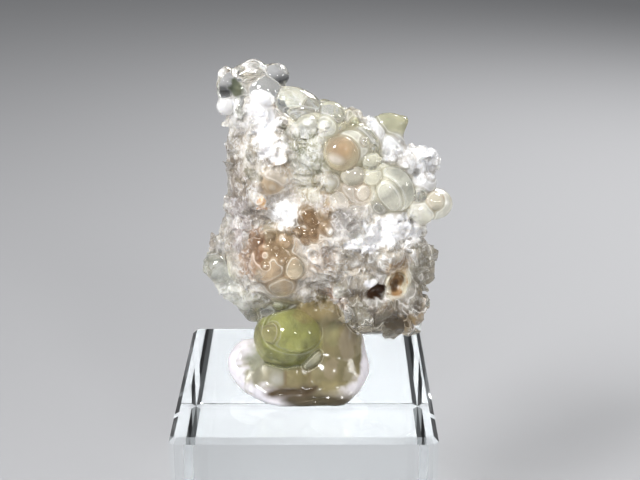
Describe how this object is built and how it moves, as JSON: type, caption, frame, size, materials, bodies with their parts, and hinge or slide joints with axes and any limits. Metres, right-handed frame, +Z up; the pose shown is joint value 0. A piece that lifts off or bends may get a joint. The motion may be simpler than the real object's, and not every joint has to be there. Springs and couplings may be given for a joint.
{
  "type": "hyalite opal",
  "caption": "Clear, drop-covered hyalite opal, a natural stone grown as one lumpy piece on a narrow foot, shown on a solid clear acrylic cube.",
  "frame": {"origin": "middle of the cube's underside, where the piece rests", "axes": "+Z up; the stone's best side, with the green dome low and the honey dome high on the right, faces -Y; +X to the right seen from there"},
  "size_m": [0.0266, 0.025, 0.0579],
  "materials": {
    "opal": "glassy, clear to milky, with pale olive and honey brown parts",
    "acrylic": "polished clear"
  },
  "bodies": {
    "root": {"opal": "opal", "display_cube": "acrylic"}
  },
  "joints": []
}
